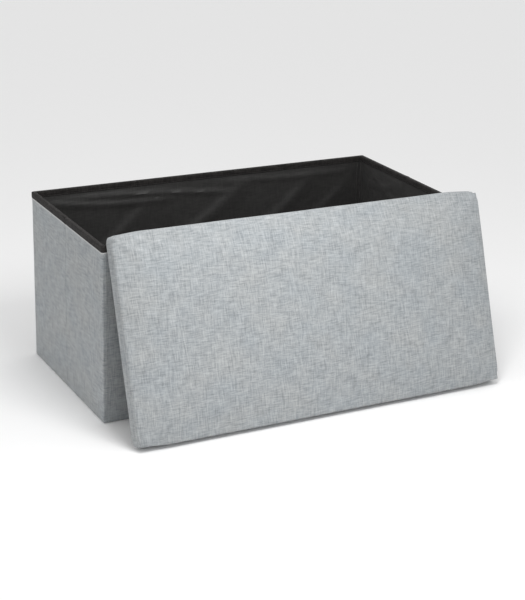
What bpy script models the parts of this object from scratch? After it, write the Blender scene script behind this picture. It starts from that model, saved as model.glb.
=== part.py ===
"""Folding storage ottoman: a fabric-covered board box with a loose padded lid leaning on its front.

The box collapses like a paper bag. Each end wall is two leaves that crease inwards, and the base is
two mitred leaves that rise against the long walls, so the long walls close together.
Frame: +X along the box, +Y towards its back, +Z up, origin on the floor under the centre of the
whole object's bounding box, the leaning lid included.
"""
import math

import bmesh
import bpy
from mathutils import Vector

# Box, over the rim binding
BOX_WIDTH = 0.760
BOX_DEPTH = 0.376
BOX_HEIGHT = 0.344

# Lid, over its cover
LID_WIDTH = 0.772
LID_DEPTH = 0.380
LID_THICKNESS = 0.040
LID_CROWN = 0.005
LID_CORNER = 0.012
LID_SHIFT = 0.0175
LID_LEAN = math.radians(19.0)

# Layers of a wall, and the slit left between any two pieces
GAP = 0.0003
BINDING_CLOTH = 0.0008
COVER_CLOTH = 0.001
WALL_BOARD = 0.004
LINING_CLOTH = 0.001
BINDING_DROP = 0.012

# Layers of the base
BASE_BOARD = 0.003
BASE_CLOTH = 0.0008

# Layers of the lid
LID_BOARD = 0.009
LID_FLANGE = 0.030
DUST_CLOTH = 0.0008
DUST_INSET = 0.012
LID_REST_GAP = 0.0005

# Fold clearances
HINGE_OFFSET = 0.0034     # from the lining's face to a corner's axis, along X and along Y
CREASE_OFFSET = 0.001     # from the end wall's outer plane out to its crease axis
CORNER_SLIT = 0.0005      # between a long wall and the leaf beside it
CENTRE_SLIT = 0.0003      # from the middle plane to the edge of a leaf
BASE_HINGE_SLIT = 0.0006  # between a wall's lining and the base leaf hinged to it
MITRE_SLIT = 0.003        # between an end wall and the long edge of a base leaf
GUSSET_SLIT = 0.001       # between a base leaf's mitre and the gusset beside it
GUSSET_CLOTH = 0.001
GUSSET_HEIGHT = 0.002

# Distances inward from a wall's outermost plane
COVER_OUT = BINDING_CLOTH + GAP
COVER_IN = COVER_OUT + COVER_CLOTH
BOARD_OUT = COVER_IN + GAP
BOARD_IN = BOARD_OUT + WALL_BOARD
LINING_OUT = BOARD_IN + GAP
LINING_IN = LINING_OUT + LINING_CLOTH
RIM_IN = LINING_IN + GAP + BINDING_CLOTH
HINGE_IN = LINING_IN + HINGE_OFFSET
LEAF_START = RIM_IN + CORNER_SLIT

# Heights of a wall
WALL_TOP = BOX_HEIGHT - BINDING_CLOTH - GAP
BOARD_FOOT = COVER_CLOTH + GAP

# Heights of the base
BASE_BOARD_FOOT = BASE_CLOTH + GAP
BASE_BOARD_TOP = BASE_BOARD_FOOT + BASE_BOARD
BASE_TOP_FOOT = BASE_BOARD_TOP + GAP
BASE_TOP = BASE_TOP_FOOT + BASE_CLOTH

# Heights inside the lid, from its underside
LID_EDGE = LID_THICKNESS - LID_CROWN
LID_COVER_FOOT = DUST_CLOTH + GAP
LID_BOARD_FOOT = LID_COVER_FOOT + COVER_CLOTH + GAP
LID_BOARD_TOP = LID_BOARD_FOOT + LID_BOARD
LID_FOAM_FOOT = LID_BOARD_TOP + GAP
LID_SKIN = COVER_CLOTH + GAP

# The leaning lid: its lower edge stands on the floor and its underside leans on the front rim
LID_FOOT_Z = -LID_COVER_FOOT * math.sin(LID_LEAN)
LEAN_LENGTH = (BOX_HEIGHT - LID_FOOT_Z + LID_REST_GAP * math.sin(LID_LEAN)) / math.cos(LID_LEAN)
LID_REACH = LEAN_LENGTH * math.sin(LID_LEAN) + LID_REST_GAP * math.cos(LID_LEAN)
LID_NOSE = (
    LID_REACH
    + (LID_EDGE - LID_CORNER) * math.cos(LID_LEAN)
    + LID_CORNER * (1.0 - math.sin(LID_LEAN))
)

# Middle of the box in the part's frame
BOX_X = (BOX_WIDTH / 2 - LID_SHIFT - LID_WIDTH / 2) / 2
BOX_Y = LID_NOSE / 2
LEFT = BOX_X - BOX_WIDTH / 2
RIGHT = BOX_X + BOX_WIDTH / 2
FRONT = BOX_Y - BOX_DEPTH / 2
BACK = BOX_Y + BOX_DEPTH / 2

# Headings of the walls: the turn about Z that points a panel's local +Y into the box
FRONT_HEADING = 0.0
RIGHT_HEADING = math.radians(90)
BACK_HEADING = math.radians(180)
LEFT_HEADING = math.radians(-90)


def clear_scene():
    """Remove every object of the open scene."""
    for obj in list(bpy.data.objects):
        bpy.data.objects.remove(obj, do_unlink=True)


def new_collection(name):
    """Make a collection and link it to the scene."""
    collection = bpy.data.collections.new(name)
    bpy.context.scene.collection.children.link(collection)
    return collection


def new_material(name, color, roughness):
    """Make a Principled material without metal."""
    material = bpy.data.materials.new(name)
    material.use_nodes = True
    shader = material.node_tree.nodes["Principled BSDF"]
    shader.inputs["Base Color"].default_value = (*color, 1.0)
    shader.inputs["Roughness"].default_value = roughness
    shader.inputs["Metallic"].default_value = 0.0
    return material


clear_scene()
PARTS = new_collection("storage_ottoman")
CUTTERS = new_collection("cutters")
LINEN = new_material("linen", (0.42, 0.44, 0.45), 0.9)
BLACK_LINING = new_material("black_lining", (0.018, 0.018, 0.018), 0.8)
BINDING_TAPE = new_material("binding_tape", (0.028, 0.026, 0.024), 0.9)
FIBREBOARD = new_material("fibreboard", (0.36, 0.25, 0.16), 0.85)
FOAM = new_material("foam", (0.80, 0.78, 0.70), 1.0)
BLACK_FELT = new_material("black_felt", (0.02, 0.02, 0.021), 0.95)


def new_axis(name, place, parent=None, turn=0.0):
    """Make an empty on a joint's axis. The place is in world coordinates."""
    empty = bpy.data.objects.new(name, None)
    empty.empty_display_size = 0.03
    empty["world"] = tuple(place)
    empty.location = place
    if parent is not None:
        empty.parent = parent
        empty.location = Vector(place) - Vector(parent["world"])
    empty.rotation_euler = (turn, 0.0, 0.0)
    PARTS.objects.link(empty)
    return empty


def finish_piece(name, mesh_builder, material, parent, place, heading=0.0, collection=None):
    """Turn a bmesh into a named object that stands at a world place and rides on a parent empty."""
    mesh = bpy.data.meshes.new(name)
    mesh_builder.to_mesh(mesh)
    mesh_builder.free()
    mesh.materials.append(material)
    piece = bpy.data.objects.new(name, mesh)
    piece.parent = parent
    piece.location = Vector(place) - Vector(parent["world"])
    piece.rotation_euler = (0.0, 0.0, heading)
    (collection or PARTS).objects.link(piece)
    return piece


def cut_away(piece, name, mesh_builder, parent, place):
    """Cut a shape out of a piece with a wireframe cutter."""
    cutter = finish_piece(name, mesh_builder, LINEN, parent, place, collection=CUTTERS)
    cutter.hide_render = True
    cutter.display_type = "WIRE"
    cut = piece.modifiers.new(name, "BOOLEAN")
    cut.operation = "DIFFERENCE"
    cut.object = cutter


def box_builder(low, high):
    """A bmesh box between two corners."""
    low = Vector(low)
    high = Vector(high)
    builder = bmesh.new()
    bmesh.ops.create_cube(builder, size=1.0)
    bmesh.ops.scale(builder, vec=high - low, verts=builder.verts)
    bmesh.ops.translate(builder, vec=(low + high) / 2, verts=builder.verts)
    return builder


def open_sides(builder, directions):
    """Delete the faces of a box that look along the given directions."""
    builder.normal_update()
    doomed = [
        face for face in builder.faces
        if any(face.normal.dot(Vector(direction)) > 0.99 for direction in directions)
    ]
    bmesh.ops.delete(builder, geom=doomed, context="FACES")


def thicken(piece, thickness):
    """Give an open surface its wall, inward from its faces."""
    solidify = piece.modifiers.new("cloth", "SOLIDIFY")
    solidify.thickness = thickness
    solidify.offset = -1.0
    solidify.use_even_offset = True


def add_panel(name, start, heading, length, trim_start, trim_end, parent):
    """One stiff wall panel: board, cover, lining and rim binding.

    start is the outer bottom corner from which the panel runs along its local +X, and the trims
    are how far its cover stands back from the binding's two ends.
    """
    place = (start[0], start[1], 0.0)
    cover_from = trim_start
    cover_to = length - trim_end
    board_from = cover_from + COVER_CLOTH + GAP
    board_to = cover_to - COVER_CLOTH - GAP

    builder = box_builder((board_from, BOARD_OUT, BOARD_FOOT), (board_to, BOARD_IN, WALL_TOP))
    finish_piece(name + "_board", builder, FIBREBOARD, parent, place, heading)

    builder = box_builder((cover_from, COVER_OUT, 0.0), (cover_to, LINING_IN, WALL_TOP))
    open_sides(builder, ((0, 1, 0), (0, 0, 1)))
    cover = finish_piece(name + "_cover", builder, LINEN, parent, place, heading)
    thicken(cover, COVER_CLOTH)

    builder = box_builder((board_from, LINING_OUT, BOARD_FOOT), (board_to, LINING_IN, WALL_TOP))
    finish_piece(name + "_lining", builder, BLACK_LINING, parent, place, heading)

    binding_foot = BOX_HEIGHT - BINDING_DROP
    builder = box_builder((0.0, 0.0, binding_foot), (length, RIM_IN, BOX_HEIGHT))
    open_sides(builder, ((1, 0, 0), (-1, 0, 0), (0, 0, -1)))
    binding = finish_piece(name + "_binding", builder, BINDING_TAPE, parent, place, heading)
    thicken(binding, BINDING_CLOTH)


def flat_piece(name, outline, foot, top, material, parent):
    """A flat sheet between two heights, from an outline that runs anticlockwise."""
    builder = bmesh.new()
    corners = [builder.verts.new((x, y, foot)) for x, y in outline]
    face = builder.faces.new(corners)
    raised = bmesh.ops.extrude_face_region(builder, geom=[face])
    lifted = [item for item in raised["geom"] if isinstance(item, bmesh.types.BMVert)]
    bmesh.ops.translate(builder, vec=(0.0, 0.0, top - foot), verts=lifted)
    bmesh.ops.recalc_face_normals(builder, faces=builder.faces)
    return finish_piece(name, builder, material, parent, (0.0, 0.0, 0.0))


def add_base_leaf(name, hinge_y, towards_middle, parent):
    """One half of the base, mitred at 45 degrees so that it clears the end walls as it rises."""
    hinge_half = BOX_WIDTH / 2 - LINING_IN - MITRE_SLIT
    middle_y = BOX_Y - towards_middle * CENTRE_SLIT
    reach = abs(middle_y - hinge_y)
    outline = [
        (BOX_X - hinge_half, hinge_y),
        (BOX_X + hinge_half, hinge_y),
        (BOX_X + hinge_half - reach, middle_y),
        (BOX_X - hinge_half + reach, middle_y),
    ]
    flat_piece(name + "_undercloth", outline, 0.0, BASE_CLOTH, BLACK_FELT, parent)
    flat_piece(name + "_board", outline, BASE_BOARD_FOOT, BASE_BOARD_TOP, FIBREBOARD, parent)
    flat_piece(name + "_lining", outline, BASE_TOP_FOOT, BASE_TOP, BLACK_LINING, parent)


def add_base_gusset(name, side, parent):
    """The soft triangle of cloth between an end wall and the two mitres of the base."""
    wall_x = BOX_X + side * (BOX_WIDTH / 2 - LINING_IN - CORNER_SLIT)
    mitre_x = BOX_X + side * (BOX_WIDTH / 2 - LINING_IN - MITRE_SLIT + GUSSET_SLIT)
    half_y = BOX_DEPTH / 2 - LINING_IN - BASE_HINGE_SLIT
    tip_x = mitre_x - side * half_y
    outline = [
        (wall_x, BOX_Y + half_y),
        (wall_x, BOX_Y - half_y),
        (mitre_x, BOX_Y - half_y),
        (tip_x, BOX_Y),
        (mitre_x, BOX_Y + half_y),
    ]
    foot = GUSSET_HEIGHT
    flat_piece(name, outline, foot, foot + GUSSET_CLOTH, BLACK_LINING, parent)


def upright_edges(builder):
    """The edges of a box that stand along local Z."""
    return [edge for edge in builder.edges if abs(edge.verts[0].co.z - edge.verts[1].co.z) > 0.001]


def crowned_block(foot, top, inset, corner):
    """A lid-shaped block: a box with rounded upright edges and top rim, and a softly raised top."""
    low = (-LID_WIDTH / 2 + inset, inset, foot)
    high = (LID_WIDTH / 2 - inset, LID_DEPTH - inset, top)
    builder = box_builder(low, high)
    builder.normal_update()
    rim = [edge for edge in builder.edges if min(vert.co.z for vert in edge.verts) > top - 0.0001]
    bmesh.ops.bevel(
        builder, geom=upright_edges(builder) + rim, offset=corner, offset_type="OFFSET",
        segments=4, profile=0.5, affect="EDGES",
    )
    builder.normal_update()
    crest = max(builder.faces, key=lambda face: face.calc_center_median().z)
    for inset_step, rise_share in ((0.035, 0.5), (0.045, 0.3), (0.055, 0.2)):
        bmesh.ops.inset_region(builder, faces=[crest], thickness=inset_step, use_even_offset=True)
        bmesh.ops.translate(builder, vec=(0, 0, LID_CROWN * rise_share), verts=crest.verts)
    return builder


def add_lid(parent):
    """The loose lid, built flat in its own frame: local Y up the slope, local Z out of its top."""
    place = parent["world"]

    low = (-LID_WIDTH / 2 + LID_SKIN, LID_SKIN, LID_BOARD_FOOT)
    high = (LID_WIDTH / 2 - LID_SKIN, LID_DEPTH - LID_SKIN, LID_BOARD_TOP)
    builder = box_builder(low, high)
    bmesh.ops.bevel(
        builder, geom=upright_edges(builder), offset=LID_CORNER - LID_SKIN, offset_type="OFFSET",
        segments=4, profile=0.5, affect="EDGES",
    )
    finish_piece("lid_board", builder, FIBREBOARD, parent, place)

    builder = crowned_block(LID_FOAM_FOOT, LID_EDGE - LID_SKIN, LID_SKIN, LID_CORNER - LID_SKIN)
    finish_piece("lid_foam", builder, FOAM, parent, place)

    builder = crowned_block(LID_COVER_FOOT, LID_EDGE, 0.0, LID_CORNER)
    cover = finish_piece("lid_cover", builder, LINEN, parent, place)
    hollow = crowned_block(
        LID_COVER_FOOT + COVER_CLOTH, LID_EDGE - COVER_CLOTH, COVER_CLOTH, LID_CORNER - COVER_CLOTH
    )
    cut_away(cover, "lid_cover_hollow", hollow, parent, place)
    low = (-LID_WIDTH / 2 + LID_FLANGE, LID_FLANGE, 0.0)
    high = (LID_WIDTH / 2 - LID_FLANGE, LID_DEPTH - LID_FLANGE, LID_BOARD_TOP)
    cut_away(cover, "lid_cover_mouth", box_builder(low, high), parent, place)

    low = (-LID_WIDTH / 2 + DUST_INSET, DUST_INSET, 0.0)
    high = (LID_WIDTH / 2 - DUST_INSET, LID_DEPTH - DUST_INSET, DUST_CLOTH)
    finish_piece("lid_dust_cover", box_builder(low, high), BLACK_FELT, parent, place)


# Joint axes. The front wall is the part that stays, and each axis hangs on the one before it
HINGE_LEFT = LEFT + HINGE_IN
HINGE_RIGHT = RIGHT - HINGE_IN
HINGE_FRONT = FRONT + HINGE_IN
HINGE_BACK = BACK - HINGE_IN
ROOT_AXIS = new_axis("front_wall_root", (0.0, 0.0, 0.0))
LEFT_FRONT_AXIS = new_axis("left_front_corner_axis", (HINGE_LEFT, HINGE_FRONT, 0.0), ROOT_AXIS)
LEFT_CREASE_AXIS = new_axis("left_crease_axis", (LEFT - CREASE_OFFSET, BOX_Y, 0.0), LEFT_FRONT_AXIS)
LEFT_REAR_AXIS = new_axis("left_rear_corner_axis", (HINGE_LEFT, HINGE_BACK, 0.0), LEFT_CREASE_AXIS)
RIGHT_FRONT_AXIS = new_axis("right_front_corner_axis", (HINGE_RIGHT, HINGE_FRONT, 0.0), ROOT_AXIS)
RIGHT_REAR_AXIS = new_axis("right_rear_corner_axis", (HINGE_RIGHT, HINGE_BACK, 0.0), LEFT_REAR_AXIS)
BASE_FRONT_Y = FRONT + LINING_IN + BASE_HINGE_SLIT
BASE_REAR_Y = BACK - LINING_IN - BASE_HINGE_SLIT
BASE_FRONT_AXIS = new_axis("base_front_axis", (BOX_X, BASE_FRONT_Y, BASE_TOP), ROOT_AXIS)
BASE_REAR_AXIS = new_axis("base_rear_axis", (BOX_X, BASE_REAR_Y, BASE_TOP), LEFT_REAR_AXIS)
LID_PLACE = (BOX_X + LID_SHIFT, FRONT - LID_REACH, LID_FOOT_Z)
LID_AXIS = new_axis("lid_lift_axis", LID_PLACE, ROOT_AXIS, math.radians(90) - LID_LEAN)

# Long walls, each over the whole width of the box
add_panel("front", (LEFT, FRONT), FRONT_HEADING, BOX_WIDTH, COVER_OUT, COVER_OUT, ROOT_AXIS)
add_panel("back", (RIGHT, BACK), BACK_HEADING, BOX_WIDTH, COVER_OUT, COVER_OUT, LEFT_REAR_AXIS)

# End walls, each of two leaves between the long walls
LEAF_LENGTH = BOX_DEPTH / 2 - LEAF_START - CENTRE_SLIT
LEAVES = (
    ("left_front", (LEFT, BOX_Y - CENTRE_SLIT), LEFT_HEADING, LEFT_FRONT_AXIS),
    ("left_rear", (LEFT, BACK - LEAF_START), LEFT_HEADING, LEFT_CREASE_AXIS),
    ("right_front", (RIGHT, FRONT + LEAF_START), RIGHT_HEADING, RIGHT_FRONT_AXIS),
    ("right_rear", (RIGHT, BOX_Y + CENTRE_SLIT), RIGHT_HEADING, RIGHT_REAR_AXIS),
)
for leaf_name, leaf_start, leaf_heading, leaf_axis in LEAVES:
    add_panel(leaf_name, leaf_start, leaf_heading, LEAF_LENGTH, 0.0, 0.0, leaf_axis)

add_base_leaf("base_front", BASE_FRONT_Y, 1.0, BASE_FRONT_AXIS)
add_base_leaf("base_rear", BASE_REAR_Y, -1.0, BASE_REAR_AXIS)
add_base_gusset("left_base_gusset", -1.0, ROOT_AXIS)
add_base_gusset("right_base_gusset", 1.0, ROOT_AXIS)
add_lid(LID_AXIS)
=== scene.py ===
"""Looks of the folding storage ottoman: cloth walls, rim binding, lining, padded lid, floor and light.

The cloth of the box is drawn as strips along a loop round its four walls. A station on the loop is
the distance along the outer faces from the front left corner, anticlockwise as seen from above, and
a depth is the distance inward from the outermost plane.
"""

import math
import random

import bpy
import numpy as np
from mathutils import Matrix, Quaternion, Vector, noise


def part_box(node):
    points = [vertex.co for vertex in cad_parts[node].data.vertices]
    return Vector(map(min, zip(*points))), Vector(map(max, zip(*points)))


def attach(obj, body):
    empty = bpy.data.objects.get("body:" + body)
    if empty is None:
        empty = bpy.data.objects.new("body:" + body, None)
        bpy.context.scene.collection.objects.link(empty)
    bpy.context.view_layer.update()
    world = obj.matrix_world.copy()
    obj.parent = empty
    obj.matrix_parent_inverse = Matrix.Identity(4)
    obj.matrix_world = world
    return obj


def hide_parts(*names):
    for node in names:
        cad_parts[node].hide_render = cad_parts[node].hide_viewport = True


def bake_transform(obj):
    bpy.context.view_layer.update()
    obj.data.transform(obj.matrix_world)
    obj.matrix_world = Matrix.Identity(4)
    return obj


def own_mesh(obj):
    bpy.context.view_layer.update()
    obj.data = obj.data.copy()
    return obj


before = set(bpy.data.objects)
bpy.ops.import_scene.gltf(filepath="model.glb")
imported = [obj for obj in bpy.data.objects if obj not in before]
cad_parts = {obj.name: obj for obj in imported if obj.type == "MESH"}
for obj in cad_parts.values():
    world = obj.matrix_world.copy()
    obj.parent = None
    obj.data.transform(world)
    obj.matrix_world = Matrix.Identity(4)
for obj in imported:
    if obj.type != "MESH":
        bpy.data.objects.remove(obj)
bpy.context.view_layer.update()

# The box, from its rim bindings
FRONT_LOW, FRONT_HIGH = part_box("front_binding")
LEFT = FRONT_LOW.x
RIGHT = FRONT_HIGH.x
FRONT = FRONT_LOW.y
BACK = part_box("back_binding")[1].y
RIM = FRONT_HIGH.z
WIDTH = RIGHT - LEFT
DEPTH = BACK - FRONT
AROUND = 2 * (WIDTH + DEPTH)

# Layers of a wall, as depths
COVER_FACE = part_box("front_cover")[0].y - FRONT
LINING_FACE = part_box("front_lining")[1].y - FRONT
RIM_INSIDE = FRONT_HIGH.y - FRONT
COVER_CLOTH = 0.001
LINING_CLOTH = 0.0008
BINDING_CLOTH = 0.0008
BINDING_DROP = RIM - FRONT_LOW.z
COVER_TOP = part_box("front_cover")[1].z
BASE_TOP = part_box("base_front_lining")[1].z
COVER_CUT = 0.350
BINDING_CUT = 0.033

# Corners of the loop: outer and inner rounding, and how far the rounding's ease reaches
OUTER_ROUND = 0.003
INNER_ROUND = 0.002
CORNER_EASE = 0.020
CORNER_END = 0.024
CREASE_END = 0.012

# Stations of the four corners and of the two end creases
CORNER_STATIONS = (0.0, WIDTH, WIDTH + DEPTH, 2 * WIDTH + DEPTH)
RIGHT_CREASE = WIDTH + DEPTH / 2
LEFT_CREASE = -DEPTH / 2

# The lid in its own frame: local Y up its slope, local Z out of its top
LID_LEAN = math.radians(19.0)
LID_DEPTH = 0.380
DUST_INSET = 0.012
LID_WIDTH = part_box("lid_cover")[1].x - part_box("lid_cover")[0].x
DUST_LOW, DUST_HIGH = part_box("lid_dust_cover")
LID_PLACE = Vector((
    (DUST_LOW.x + DUST_HIGH.x) / 2,
    DUST_HIGH.y - (LID_DEPTH - DUST_INSET) * math.sin(LID_LEAN),
    DUST_LOW.z - DUST_INSET * math.cos(LID_LEAN),
))
LID_FRAME = Matrix.Translation(LID_PLACE) @ Matrix.Rotation(math.radians(90) - LID_LEAN, 4, "X")
LID_SOLE = 0.0011
LID_TOP = 0.035
LID_BOARD_TOP = 0.0114

# Camera
CAMERA_AZIMUTH = math.radians(-27.76)
CAMERA_ELEVATION = math.radians(20.28)
CAMERA_ROLL = math.radians(1.61)
CAMERA_DISTANCE = 2.9616
CAMERA_TARGET = Vector((-0.03395, -0.0502, 0.17))
CAMERA_LENS = 91.43


# ---------------- small helpers

def deselect_all():
    """Leave nothing selected, so that the next operator acts only on what it is given."""
    for obj in bpy.context.selected_objects:
        obj.select_set(False)


def make_active(obj):
    """Select one object alone and make it active."""
    deselect_all()
    obj.select_set(True)
    bpy.context.view_layer.objects.active = obj


def apply_modifiers(obj):
    """Apply all modifiers, in order."""
    make_active(obj)
    for modifier in list(obj.modifiers):
        bpy.ops.object.modifier_apply(modifier=modifier.name)


def select_parts(obj, kind, test):
    """Open an object in edit mode with only the vertices, edges or faces that pass a test selected."""
    make_active(obj)
    mesh = obj.data
    for part in (*mesh.vertices, *mesh.edges, *mesh.polygons):
        part.select = False
    parts = {"VERT": mesh.vertices, "EDGE": mesh.edges, "FACE": mesh.polygons}[kind]
    for part in parts:
        part.select = test(part)
    bpy.ops.object.mode_set(mode="EDIT")
    bpy.ops.mesh.select_mode(type=kind)


def close_edit():
    """Go back to object mode."""
    bpy.ops.object.mode_set(mode="OBJECT")


def smooth_by_angle(obj, degrees=35.0):
    """Shade smooth, with sharp edges above an angle."""
    make_active(obj)
    bpy.ops.object.shade_smooth_by_angle(angle=math.radians(degrees))


def ease(value):
    """A smooth step from 0 to 1 over the same range."""
    value = min(max(value, 0.0), 1.0)
    return value * value * (3.0 - 2.0 * value)


def hump(distance, half_width):
    """A soft ridge of height 1 over a distance of 0."""
    return math.exp(-((distance / half_width) ** 2))


def unevenness(x, y, third):
    """Smooth noise from -1 to 1."""
    return noise.noise(Vector((x, y, third)))


def call(obj, name):
    """Name an object and its mesh."""
    obj.name = name
    obj.data.name = name


def join_into(base, others):
    """Join other objects into a base object."""
    deselect_all()
    for obj in others:
        obj.select_set(True)
    base.select_set(True)
    bpy.context.view_layer.objects.active = base
    bpy.ops.object.join()


def set_uv(obj, point_to_uv):
    """Write a UV map from each vertex's place."""
    mesh = obj.data
    layer = mesh.uv_layers.active or mesh.uv_layers.new(name="cloth")
    layer.name = "cloth"
    spots = [point_to_uv(vertex.co) for vertex in mesh.vertices]
    for loop in mesh.loops:
        layer.data[loop.index].uv = spots[loop.vertex_index]


# ---------------- node tools

def new_material(name, values=None):
    """A material and its shader's plain values. Returns the material, its tree and its shader."""
    material = bpy.data.materials.new(name)
    material.use_nodes = True
    shader = material.node_tree.nodes["Principled BSDF"]
    for key, value in (values or {}).items():
        shader.inputs[key].default_value = value
    return material, material.node_tree, shader


def add_node(tree, kind, values=None, **settings):
    """Add a node, set its properties, and set some input sockets by name or index."""
    node = tree.nodes.new(kind)
    for key, value in settings.items():
        setattr(node, key, value)
    for key, value in (values or {}).items():
        node.inputs[key].default_value = value
    return node


def wire(tree, source, target):
    """Link an output socket to an input socket."""
    tree.links.new(source, target)


def math_node(tree, operation, first, second=None):
    """A Math node. Each operand is a number or an output socket. Returns its output."""
    node = add_node(tree, "ShaderNodeMath", operation=operation)
    for index, operand in enumerate((first, second)):
        if operand is None:
            continue
        if isinstance(operand, (int, float)):
            node.inputs[index].default_value = operand
        else:
            wire(tree, operand, node.inputs[index])
    return node.outputs[0]


def mix_color(tree, factor, first, second, blend="MIX"):
    """A colour Mix node. Factor and colours are values or sockets. Returns its output."""
    node = add_node(tree, "ShaderNodeMix", data_type="RGBA", blend_type=blend)
    for index, operand in ((0, factor), (6, first), (7, second)):
        if isinstance(operand, bpy.types.NodeSocket):
            wire(tree, operand, node.inputs[index])
        else:
            node.inputs[index].default_value = operand
    return node.outputs[2]


def stretched_noise(tree, vector, cell, detail=2.0, roughness=0.5):
    """Noise whose grain measures cell = (along X, along Y) metres. Returns its value output."""
    scaled = add_node(tree, "ShaderNodeVectorMath", operation="MULTIPLY")
    wire(tree, vector, scaled.inputs[0])
    scaled.inputs[1].default_value = (1 / cell[0], 1 / cell[1], 1.0)
    values = {"Scale": 1.0, "Detail": detail, "Roughness": roughness}
    grain = add_node(tree, "ShaderNodeTexNoise", values)
    wire(tree, scaled.outputs[0], grain.inputs["Vector"])
    return grain.outputs["Fac"]


def yarn_shades(tree, across, along, yarn_width, run_length):
    """Shade of yarns side by side: each one varies along its run, from a start of its own."""
    lane = math_node(tree, "FLOOR", math_node(tree, "DIVIDE", across, yarn_width))
    start = add_node(tree, "ShaderNodeTexWhiteNoise", noise_dimensions="1D")
    wire(tree, lane, start.inputs["W"])
    run = math_node(tree, "DIVIDE", along, run_length)
    run = math_node(tree, "ADD", run, math_node(tree, "MULTIPLY", start.outputs["Value"], 300.0))
    values = {"Scale": 1.0, "Detail": 3.0, "Roughness": 0.55}
    shade = add_node(tree, "ShaderNodeTexNoise", values, noise_dimensions="1D")
    wire(tree, run, shade.inputs["W"])
    return shade.outputs["Fac"]


def new_group(name, outputs, inputs=("Vector",)):
    """A node group with named sockets. Returns its tree, its input node and its output node."""
    tree = bpy.data.node_groups.new(name, "ShaderNodeTree")
    for socket in inputs:
        kind = "NodeSocketVector" if socket == "Vector" else "NodeSocketFloat"
        tree.interface.new_socket(name=socket, in_out="INPUT", socket_type=kind)
    for socket in outputs:
        tree.interface.new_socket(name=socket, in_out="OUTPUT", socket_type="NodeSocketFloat")
    return tree, tree.nodes.new("NodeGroupInput"), tree.nodes.new("NodeGroupOutput")


# Yarns of the weave, width and length of an even stretch, and the dots of the non-woven cloth
WARP_WIDTH = 0.0014
WARP_RUN = 0.034
WEFT_WIDTH = 0.0015
WEFT_RUN = 0.030
DOT_PITCH = 0.0011


def weave_group():
    """Plain weave with uneven yarns: a yarn shade, slow patches of shade, and the cloth's height."""
    tree, source, result = new_group("woven_cloth", ("Yarn", "Patch", "Height"), ("Vector", "Pitch"))
    vector = source.outputs["Vector"]
    split = add_node(tree, "ShaderNodeSeparateXYZ")
    wire(tree, vector, split.inputs[0])
    drift = stretched_noise(tree, vector, (0.060, 0.060), 1.0)
    waves = []
    for axis in (0, 1):
        turns = math_node(tree, "DIVIDE", split.outputs[axis], source.outputs["Pitch"])
        turns = math_node(tree, "ADD", turns, drift)
        waves.append(math_node(tree, "SINE", math_node(tree, "MULTIPLY", turns, math.pi)))
    crossing = math_node(tree, "MULTIPLY", waves[0], waves[1])
    sway = math_node(tree, "MULTIPLY", math_node(tree, "SUBTRACT", drift, 0.5), 0.0016)
    across = math_node(tree, "ADD", split.outputs[0], sway)
    up = math_node(tree, "ADD", split.outputs[1], sway)
    upright = yarn_shades(tree, across, up, WARP_WIDTH, WARP_RUN)
    level = yarn_shades(tree, up, across, WEFT_WIDTH, WEFT_RUN)
    yarn = math_node(tree, "SUBTRACT", math_node(tree, "ADD", upright, level), 0.5)
    wire(tree, yarn, result.inputs["Yarn"])
    broad = stretched_noise(tree, vector, (0.085, 0.075), 3.0, 0.55)
    wire(tree, broad, result.inputs["Patch"])
    fine = math_node(tree, "MULTIPLY", crossing, 0.15)
    wire(tree, math_node(tree, "ADD", fine, yarn), result.inputs["Height"])
    return tree


def spunbond_group():
    """Non-woven cloth: pressed dots in a diagonal grid, and a tangle of fibres."""
    tree, source, result = new_group("spunbond", ("Dots", "Fibres", "Height"))
    vector = source.outputs["Vector"]
    turned = add_node(tree, "ShaderNodeVectorRotate", rotation_type="Z_AXIS")
    turned.inputs["Angle"].default_value = math.radians(45)
    wire(tree, vector, turned.inputs["Vector"])
    split = add_node(tree, "ShaderNodeSeparateXYZ")
    wire(tree, turned.outputs[0], split.inputs[0])
    turns = math.pi / DOT_PITCH
    across = math_node(tree, "SINE", math_node(tree, "MULTIPLY", split.outputs[0], turns))
    along = math_node(tree, "SINE", math_node(tree, "MULTIPLY", split.outputs[1], turns))
    crossing = math_node(tree, "ABSOLUTE", math_node(tree, "MULTIPLY", across, along))
    dots = math_node(tree, "GREATER_THAN", crossing, 0.6)
    wire(tree, dots, result.inputs["Dots"])
    fibres = stretched_noise(tree, vector, (0.0022, 0.0009), 4.0, 0.7)
    wire(tree, fibres, result.inputs["Fibres"])
    pressed = math_node(tree, "MULTIPLY", dots, -0.6)
    wire(tree, math_node(tree, "ADD", pressed, fibres), result.inputs["Height"])
    return tree


WEAVE = weave_group()
SPUNBOND = spunbond_group()


def cloth_group(tree, group, pitch=None, use_uv=True):
    """Place a cloth node group on a piece's own UV map, or on object coordinates."""
    place = add_node(tree, "ShaderNodeTexCoord")
    node = add_node(tree, "ShaderNodeGroup", node_tree=group)
    wire(tree, place.outputs["UV" if use_uv else "Object"], node.inputs["Vector"])
    if pitch is not None:
        node.inputs["Pitch"].default_value = pitch
    return node


def add_bump(tree, height, shader, distance, strength=1.0):
    """A Bump node into the shader's normal."""
    bump = add_node(tree, "ShaderNodeBump", {"Distance": distance, "Strength": strength})
    wire(tree, height, bump.inputs["Height"])
    wire(tree, bump.outputs[0], shader.inputs["Normal"])


def remap(tree, value, low, high, to_low=0.0, to_high=1.0):
    """Map a value's range onto another, clamped."""
    node = add_node(tree, "ShaderNodeMapRange", {1: low, 2: high, 3: to_low, 4: to_high}, clamp=True)
    wire(tree, value, node.inputs[0])
    return node.outputs[0]


def shades(tree, value, low, high, dark, light):
    """A colour that runs from dark to light over a value's range."""
    return mix_color(tree, remap(tree, value, low, high), (*dark, 1), (*light, 1))


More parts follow.
